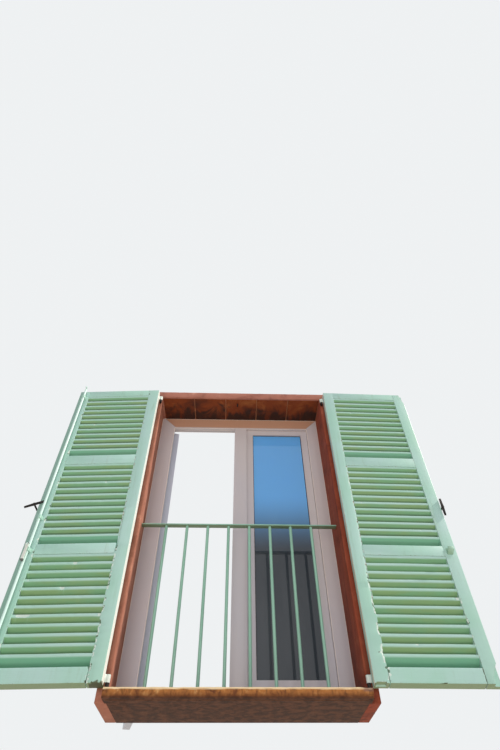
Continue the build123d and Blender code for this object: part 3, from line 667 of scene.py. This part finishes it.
finishOfNode = {  # the longest key found in a node's name holds
    "hinge_stile": "stile", "left_hinge_stile": "sunStile", "right_hinge_stile": "revealStile",
    "meeting_stile": "stile", "left_meeting_stile": "lapStile",
    "bottom_rail": "rail", "lower_mid_rail": "rail", "upper_mid_rail": "rail", "top_rail": "rail",
    "slats_": "slat", "straps": "strap", "strap_bolts": "iron",
    "espagnolette_rod": "rod", "rod_guides": "iron", "rod_strikes": "dog",
    "handle_pin": "iron", "rod_handle": "handle", "handle_keeper": "keeper",
    "pintles": "dog", "dog_spikes": "dog", "dog_bar": "dog", "guard_": "guard",
    "sash_frame": "lacquer", "left_sash_frame": "skyCastLacquer", "sash_beads": "lacquer", "sash_glass": "glass",
    "sash_barrels": "fitting", "lever": "fitting",
    "window_frame": "frameLacquer", "window_mullion": "lacquer", "window_hinge_pins": "fitting",
    "sill": "sill", "left_jamb": "leftJamb", "right_jamb": "shadedRightJamb", "head": "head", "soffit_tiles": "soffit",
}


def finishFor(node):
    named = [key for key in finishOfNode if key in node]
    return finishes[finishOfNode[max(named, key=len)]]


for node, piece in nodes.items():
    piece.data.materials.clear()
    piece.data.materials.append(finishFor(node))
print("finishes laid on", len(nodes), "nodes")

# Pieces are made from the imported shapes, merged, then given soft arrises and wear.

shapePlan = {
    "mergeWithin": 0.00002,
    "flatWithin": radians(0.4),
    "bevelOver": radians(32),
    "smoothUnder": radians(25),
}

leafPlan = {
    "left": {"side": -1, "turn": radians(-183.2)},
    "right": {"side": 1, "turn": radians(181.2)},
    "pin": (0.658, -0.019),
    "corner": (0.647, 0.003, 0.065),
}


def leafMatrix(which):  # from a leaf's own frame to its place, folded back beside the opening
    side, turn = leafPlan[which]["side"], leafPlan[which]["turn"]
    pinX, pinY = leafPlan["pin"]
    cornerX, cornerY, cornerZ = leafPlan["corner"]
    pin = Vector((side * pinX, pinY, 0))
    hung = Matrix.Translation((side * cornerX, cornerY, cornerZ)) @ Matrix.Diagonal((-side, 1, 1, 1))
    return Matrix.Translation(pin) @ Matrix.Rotation(turn, 4, "Z") @ Matrix.Translation(-pin) @ hung


def packedShape(node):
    shape = bmesh.new()
    shape.from_mesh(nodes[node].data)
    bmesh.ops.remove_doubles(shape, verts=shape.verts, dist=shapePlan["mergeWithin"])
    bmesh.ops.dissolve_limit(shape, angle_limit=shapePlan["flatWithin"], verts=shape.verts, edges=shape.edges)
    return shape


def leafShape(node, which):
    shape = packedShape(node)
    bmesh.ops.transform(shape, matrix=leafMatrix(which).inverted(), verts=shape.verts)
    return shape


def spanOf(shape, axis):
    places = [vert.co[axis] for vert in shape.verts]
    return min(places), max(places)


def cutAcross(shape, axis, places):
    level = Vector((0, 0, 0))
    level[axis] = 1.0
    for spot in places:
        everything = shape.verts[:] + shape.edges[:] + shape.faces[:]
        bmesh.ops.bisect_plane(shape, geom=everything, plane_co=level * spot, plane_no=level)


def cutEvenly(shape, axis, low, high, step):
    count = int((high - low) / step)
    cutAcross(shape, axis, [low + (high - low) * (n + 0.5) / count for n in range(count)])


def softenEdges(shape, width, wanted):
    sharp = shapePlan["bevelOver"]
    edges = [e for e in shape.edges if e.is_manifold and e.calc_face_angle() > sharp and wanted(e)]
    bmesh.ops.bevel(shape, geom=edges, offset=width, offset_type="OFFSET", segments=2, profile=0.5,
                    affect="EDGES", clamp_overlap=True, material=-1)


def field(spot, scale, seed):
    return fieldNoise.noise(Vector(spot) * scale + Vector((seed, seed * 0.7, -seed)))


def shadeByAngle(shape):
    for face in shape.faces:
        face.smooth = True
    for edge in shape.edges:
        edge.smooth = edge.is_manifold and edge.calc_face_angle() < shapePlan["smoothUnder"]


def finishShape(shape, name, finish, body, replaced=()):
    shadeByAngle(shape)
    mesh = bpy.data.meshes.new(name)
    shape.to_mesh(mesh)
    shape.free()
    mesh.materials.append(finish)
    piece = bpy.data.objects.new(name, mesh)
    bpy.context.scene.collection.objects.link(piece)
    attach(piece, body)
    if replaced:
        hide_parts(*replaced)


def finishLeafShape(shape, node, which):
    bmesh.ops.transform(shape, matrix=leafMatrix(which), verts=shape.verts)
    finishShape(shape, f"{node}_painted", finishFor(node), f"{which}_leaf", (node,))


# Stiles and rails

woodPlan = {
    "parts": ("hinge_stile", "meeting_stile", "bottom_rail", "lower_mid_rail", "upper_mid_rail", "top_rail"),
    "arris": 0.0018,
    "arrisLength": 0.02,
    "onFace": 0.001,
    "thick": 0.045,
    "stileWide": 0.078,
    "tenon": 0.045,
    "footLow": -0.011,
    "closeCuts": (0.003, 0.008, 0.014),  # these hold the wear near the inner arris
    "chips": {  # leaf, stile: low, high, depth, and what the bites must rise above
        ("left", "hinge_stile"): ((-0.005, 0.74, 0.0062, -0.10), (0.74, 2.03, 0.0018, 0.18)),
        ("right", "hinge_stile"): ((-0.005, 0.42, 0.0070, -0.14), (0.42, 0.74, 0.0040, 0.1),
                                   (0.74, 2.03, 0.0016, 0.2)),
        ("left", "meeting_stile"): ((0.08, 0.74, 0.0040, 0.08), (0.74, 2.03, 0.0034, 0.06)),
        ("right", "meeting_stile"): ((0.08, 0.74, 0.0030, 0.20),),
    },
    "chipStart": 0.003,
    "chipStep": 0.009,
    "fineDepth": 0.003,  # chips no deeper than this take wider steps
    "fineStep": 2.6,
    "chipReach": 0.015,
    "chipWaves": ((17, 0.75), (75, 0.45)),  # closeness and strength, large bites then small
    "chipWhite": 11.0,
    "fullDepth": 0.006,
    "biteAcross": 2.2,
    "biteBack": 1.2,
    "rotRise": 0.034,
    "rotWide": 0.85,  # of the stile's width
}

footPlan = {  # the bottom rails, where joints have opened and the wood has rotted
    "nearCuts": (0.004, 0.010, 0.018, 0.030),  # from the shoulder at the hinge stile
    "farCuts": (0.008, 0.012),
    "levelCuts": (-0.002, 0.008, 0.02, 0.032, 0.045, 0.058),
    "shoulder": 0.006,
    "jointGap": 0.0024,
    "gapLeast": 0.35,
    "gapRise": 0.07,
    "faceDepth": 0.006,
    "patchReach": 0.026,
    "patchScale": 40,
    "patch": 0.35,
    "morePatch": {"left": 0.0, "right": 0.35},
    "patchLeast": 0.4,
    "patchRise": 8,
    "rotBelow": 0.01,
    "rotNear": 0.7,
    "rotFar": 0.72,
    "crack": {"leaf": "right", "along": 0.54, "half": 0.028, "cuts": (-1, -0.3, 0.3, 1), "cutDepth": 0.004,
              "below": 0.004, "depth": 0.003},
}


def stileWear(shape, which, stile, seed):
    plan = woodPlan
    toward = -1 if stile == "hinge_stile" else 1
    inner = spanOf(shape, 0)[1 if stile == "hinge_stile" else 0]
    cutAcross(shape, 0, [inner + toward * reach for reach in plan["closeCuts"]])
    cutAcross(shape, 1, [plan["thick"] - reach for reach in plan["closeCuts"]])
    chip = shape.verts.layers.float.new("chip")
    rot = shape.verts.layers.float.new("rot")
    (large, strong), (small, weak) = plan["chipWaves"]
    for low, high, depth, floor in plan["chips"].get((which, stile), ()):
        step = plan["chipStep"] * (1 if depth > plan["fineDepth"] else plan["fineStep"])
        count = int((high - low) / step)
        cutAcross(shape, 2, [low + step * index + plan["chipStart"] for index in range(count)])
        for vert in shape.verts:
            if not low < vert.co.z < high:
                continue
            near = 1 - Vector((vert.co.x - inner, vert.co.y - plan["thick"])).length / plan["chipReach"]
            if near <= 0:
                continue
            # two waves along the stile say where its arris is bitten
            level = (0, 0, vert.co.z)
            bite = field(level, large, seed) * strong + field(level, small, seed + 9) * weak - floor
            bite = max(0.0, bite) * near
            vert[chip] = min(1.0, bite * plan["chipWhite"] * depth / plan["fullDepth"])
            vert.co.x += toward * bite * depth * plan["biteAcross"]
            vert.co.y -= bite * depth * plan["biteBack"]
    if stile == "hinge_stile" and which == "left":
        for vert in shape.verts:
            fall = max(0.0, 1 - (vert.co.z - plan["footLow"]) / plan["rotRise"])
            vert[rot] = fall * (vert.co.x < plan["stileWide"] * plan["rotWide"])


def railWear(shape, which, seed, foot):
    chip = shape.verts.layers.float.new("chip")
    rot = shape.verts.layers.float.new("rot")
    if not foot:
        return
    plan, crack = footPlan, footPlan["crack"]
    thick, tenon = woodPlan["thick"], woodPlan["tenon"]
    low, high = spanOf(shape, 0)
    middle = (low + high) / 2
    cutAcross(shape, 0, [low + tenon + reach for reach in plan["nearCuts"]])
    cutAcross(shape, 0, [high - tenon - reach for reach in plan["farCuts"]])
    cutAcross(shape, 2, plan["levelCuts"])
    cracked = which == crack["leaf"]
    crackSpot = low + (high - low) * crack["along"]
    if cracked:
        cutAcross(shape, 0, [crackSpot + crack["half"] * reach for reach in crack["cuts"]])
        cutAcross(shape, 1, [thick - crack["cutDepth"]])
    for vert in shape.verts:
        side = 1 if vert.co.x > middle else -1
        atShoulder = abs(abs(vert.co.x - middle) - (high - low) / 2 + tenon) < plan["shoulder"]
        if atShoulder:  # the joint gapes, most of all at the foot
            fall = max(0.0, 1 - (vert.co.z - woodPlan["footLow"]) / plan["gapRise"])
            vert.co.x -= side * plan["jointGap"] * (plan["gapLeast"] + fall)
        if side < 0 and vert.co.y > thick - plan["faceDepth"]:
            near = 1 - abs(vert.co.x - low - tenon) / plan["patchReach"]
            patch = field(vert.co, plan["patchScale"], seed) + plan["patch"] + plan["morePatch"][which]
            rise = plan["patchLeast"] + plan["patchRise"] * max(0.0, vert.co.z)
            vert[chip] = max(0.0, min(1.0, near * patch * rise))
            vert[rot] = max(0.0, near) * (vert.co.z < plan["rotBelow"]) * plan["rotNear"]
        if side > 0 and atShoulder:
            vert[rot] = plan["rotFar"]
        if cracked and vert.co.z < crack["below"] and vert.co.y > thick - crack["depth"]:
            vert[rot] = max(0.0, 1 - abs(vert.co.x - crackSpot) / crack["half"])


def outerEdge(shape):  # picks the long arrises of the front and back faces
    faces = spanOf(shape, 1)

    def test(edge):
        onFace = all(min(abs(vert.co.y - face) for face in faces) < woodPlan["onFace"] for vert in edge.verts)
        return onFace and edge.calc_length() >= woodPlan["arrisLength"]
    return test


def makeWood():
    for order, which in enumerate(("left", "right")):
        for index, part in enumerate(woodPlan["parts"]):
            node = f"{which}_{part}"
            shape = leafShape(node, which)
            softenEdges(shape, woodPlan["arris"], outerEdge(shape))
            if "stile" in part:
                stileWear(shape, which, part, 11 * order + index)
            else:
                railWear(shape, which, 5 * order + index, part == "bottom_rail")
            finishLeafShape(shape, node, which)


makeWood()
print("stiles and rails made")

# Slats

slatPlan = {
    "panels": ("bottom", "middle", "top"),
    "slats": 12,
    "tall": 0.0624,  # one slat, before its arrises are rounded
    "rowFrom": 0.046,
    "tilt": 1.1918,  # the tangent of 50 degrees
    "front": 0.0425,
    "deep": 0.04,
    "step": 0.0125,
    "bow": 0.0011,
    "bowScale": 4.5,
    "bowHold": 8,  # how soon the bow grows from either end
    "noseReach": 0.005,
    "noseChip": 0.0070,
    "noseScale": 60,
    "noseFloor": 0.34,
    "noseLift": 0.4,
    "fullChip": 0.004,
    "deepShade": (1.0, 1.35, 1.7),  # how soon the painted shade starts, from the bottom panel up
    "seeds": (3.7, 17, 51),  # for each slat, panel and leaf
    "bites": {  # leaf, panel: slat from below, place along it from the hinge, length, depth
        ("left", "bottom"): ((7, 0.52, 0.050, 0.006), (10, 0.45, 0.045, 0.005), (4, 0.87, 0.130, 0.006),
                             (4, 0.03, 0.040, 0.005), (6, 0.30, 0.030, 0.003)),
        ("right", "bottom"): ((1, 0.38, 0.030, 0.004), (6, 0.96, 0.040, 0.005)),
        ("left", "middle"): ((8, 0.34, 0.030, 0.003),),
    },
}


def slatWear(shape, order, index, bites):
    plan = slatPlan
    perSlat, perPanel, perLeaf = plan["seeds"]
    low, high = spanOf(shape, 0)
    cutEvenly(shape, 0, low, high, plan["step"])
    depthLayer = shape.verts.layers.float.new("depth")
    lowestLayer = shape.verts.layers.float.new("lowest")
    chipLayer = shape.verts.layers.float.new("chip")
    foot, top = spanOf(shape, 2)
    pitch = (top - foot - plan["tall"]) / (plan["slats"] - 1)
    for vert in shape.verts:
        inward = plan["front"] - vert.co.y
        vert[depthLayer] = inward / plan["deep"] * plan["deepShade"][index]
        # the slat that this vertex belongs to, found along the slats' tilt
        row = int((vert.co.z + inward * plan["tilt"] - foot - plan["rowFrom"]) / pitch)
        vert[lowestLayer] = 1.0 if row <= 0 else 0.0
        along = (vert.co.x - low) / (high - low)
        hold = min(1.0, plan["bowHold"] * along, plan["bowHold"] * (1 - along))
        seed = row * perSlat + index * perPanel + order * perLeaf
        vert.co.z += field((vert.co.x, 0, 0), plan["bowScale"], seed) * plan["bow"] * hold
        near = 1 - inward / plan["noseReach"]
        if near > 0:
            chip = field((vert.co.x, 0, 0), plan["noseScale"], seed + 5) - plan["noseFloor"]
            chip = max(0.0, chip) * plan["noseChip"]
            for bitten, spot, length, depth in bites:
                if bitten == row:
                    chip += depth * max(0.0, 1 - abs(along - spot) / length * (high - low) * 2)
            vert[chipLayer] = min(1.0, chip / plan["fullChip"]) * near
            vert.co.y -= chip * near
            vert.co.z += chip * near * plan["noseLift"]


def makeSlats():
    for order, which in enumerate(("left", "right")):
        for index, panel in enumerate(slatPlan["panels"]):
            node = f"{which}_slats_{panel}"
            shape = leafShape(node, which)
            slatWear(shape, order, index, slatPlan["bites"].get((which, panel), ()))
            finishLeafShape(shape, node, which)


makeSlats()
print("slats made")

# Ironwork: hinges, rod, handle, keeper, dogs, guard rail

ironPlan = {  # node: body, material slot, arris
    "left_straps": ("left_leaf", "painted_iron", 0.0009),
    "right_straps": ("right_leaf", "painted_iron", 0.0009),
    "rod_guides": ("left_leaf", "painted_iron", 0.0009),
    "espagnolette_rod": ("rod", "painted_iron", 0.0007),
    "rod_handle": ("handle", "painted_iron", 0.0014),
    "handle_keeper": ("right_leaf", "painted_iron", 0.0008),
    "pintles": ("surround", "painted_iron", 0.0008),
    "left_dog_bar": ("left_dog", "bare_iron", 0.0012),
    "right_dog_bar": ("right_dog", "bare_iron", 0.0012),
    "dog_spikes": ("surround", "bare_iron", 0.0005),
    "guard_top_bar": ("surround", "guard_paint", 0.0014),
}
ironEdge = 0.003  # edges no longer than this stay sharp


def makeIron():
    for node, (body, slot, arris) in ironPlan.items():
        shape = packedShape(node)
        softenEdges(shape, arris, lambda edge: edge.calc_length() > ironEdge)
        finishShape(shape, f"{node}_forged", finishFor(node), body, (node,))


makeIron()
print("ironwork made")

# Rubber gaskets between the panes and their sashes

gasketPlan = {
    "cover": 0.0119,  # what the rebate hides of the pane's edge
    "wide": 0.0045,
    "proud": 0.0012,
    "paneArea": 0.3,
}


def makeGaskets():
    plan = gasketPlan
    for side in ("left", "right"):
        shape = packedShape(f"{side}_sash_glass")
        panes = [face for face in shape.faces if face.calc_area() > plan["paneArea"]]
        bmesh.ops.inset_individual(shape, faces=panes, thickness=plan["cover"], use_even_offset=True)
        inset = bmesh.ops.inset_individual(shape, faces=panes, thickness=plan["wide"], use_even_offset=True)
        spare = [face for face in shape.faces if face not in inset["faces"]]
        bmesh.ops.delete(shape, geom=spare, context="FACES")
        # the rims rise from both faces of the pane
        raised = bmesh.ops.extrude_face_region(shape, geom=shape.faces[:])["geom"]
        lifts = {}
        for face in [part for part in raised if isinstance(part, bmesh.types.BMFace)]:
            face.normal_update()
            for vert in face.verts:
                lifts[vert] = face.normal.copy()
        for vert, normal in lifts.items():
            vert.co += normal * plan["proud"]
        bmesh.ops.recalc_face_normals(shape, faces=shape.faces)
        finishShape(shape, f"{side}_pane_gasket", finishes["rubber"], f"{side}_sash")


makeGaskets()
print("gaskets made")

# Stone, render and clay round the opening

masonryPlan = {  # node: material slot, arris, step of the cuts, how deep the roughness goes
    "sill": ("sill_stone", 0.003, 0.016, 0.0028),
    "left_jamb": ("lining_render", 0.004, 0.035, 0.0016),
    "right_jamb": ("lining_render", 0.004, 0.035, 0.0016),
    "head": ("lining_render", 0.003, 0.03, 0.0016),
    "soffit_tiles": ("soffit_clay", 0.0014, 0.03, 0.0010),
}

roughPlan = {
    "arrisLength": 0.03,
    "sillCuts": (0.012, 0.02, 0.028, 0.036),
    "frontDepth": 0.03,
    "tileFace": 0.002,
    "waves": ((28, 0.6), (90, 0.7)),  # closeness and strength, broad wear then fine
    "sillEnd": (0.60, 0.07),  # where the sill's worn end starts, and its length
    "sillEndWear": 4.5,
    "roundFrom": 0.012,  # from mid-height, and from the right end
    "upward": 0.6,
    "downward": -0.8,
}


def roughenFront(shape, node, index, rough, box):
    plan = roughPlan
    (_, right), (front, _), (bottom, top) = box
    middle = (bottom + top) / 2
    (broad, strong), (fine, weak) = plan["waves"]
    endFrom, endLength = plan["sillEnd"]
    for vert in shape.verts:
        tileFace = node == "soffit_tiles" and vert.co.z < bottom + plan["tileFace"]
        if not (vert.co.y < front + plan["frontDepth"] or tileFace):
            continue
        spot = vert.co.copy()
        worn = abs(field(spot, broad, index)) * strong + abs(field(spot, fine, index + 4)) * weak
        end = max(0.0, (spot.x - endFrom) / endLength) if node == "sill" else 0.0
        depth = rough * worn * (1 + plan["sillEndWear"] * end)
        vert.co.y += depth
        if abs(spot.z - middle) > plan["roundFrom"]:
            vert.co.z += depth * (plan["upward"] if spot.z < middle else plan["downward"])
        if spot.x > right - plan["roundFrom"]:
            vert.co.x -= depth


def makeMasonry():
    for index, (node, (slot, arris, step, rough)) in enumerate(masonryPlan.items()):
        shape = packedShape(node)
        axis = 2 if "jamb" in node else 0
        box = [spanOf(shape, a) for a in range(3)]
        softenEdges(shape, arris, lambda edge: edge.calc_length() > roughPlan["arrisLength"])
        cutEvenly(shape, axis, *box[axis], step)
        if node == "sill":
            cutAcross(shape, 2, roughPlan["sillCuts"])
        roughenFront(shape, node, index, rough, box)
        finishShape(shape, f"{node}_worn", finishFor(node), "surround", (node,))


makeMasonry()
print("stone and render made")

# Floor, well below the camera


def makeFloor(plan):
    shape = bmesh.new()
    bmesh.ops.create_grid(shape, x_segments=1, y_segments=1, size=plan["floorSize"] / 2)
    bmesh.ops.translate(shape, verts=shape.verts, vec=(0, 0, plan["floorHeight"]))
    mesh = bpy.data.meshes.new("floor")
    shape.to_mesh(mesh)
    shape.free()
    floor = bpy.data.objects.new("floor", mesh)
    bpy.context.scene.collection.objects.link(floor)
    material, tree, shader = startMaterial("floorPaint", 0.9)
    shader.inputs["Base Color"].default_value = (*plan["floorColour"], 1)
    mesh.materials.append(material)


makeFloor(lightPlan)
print("floor laid")
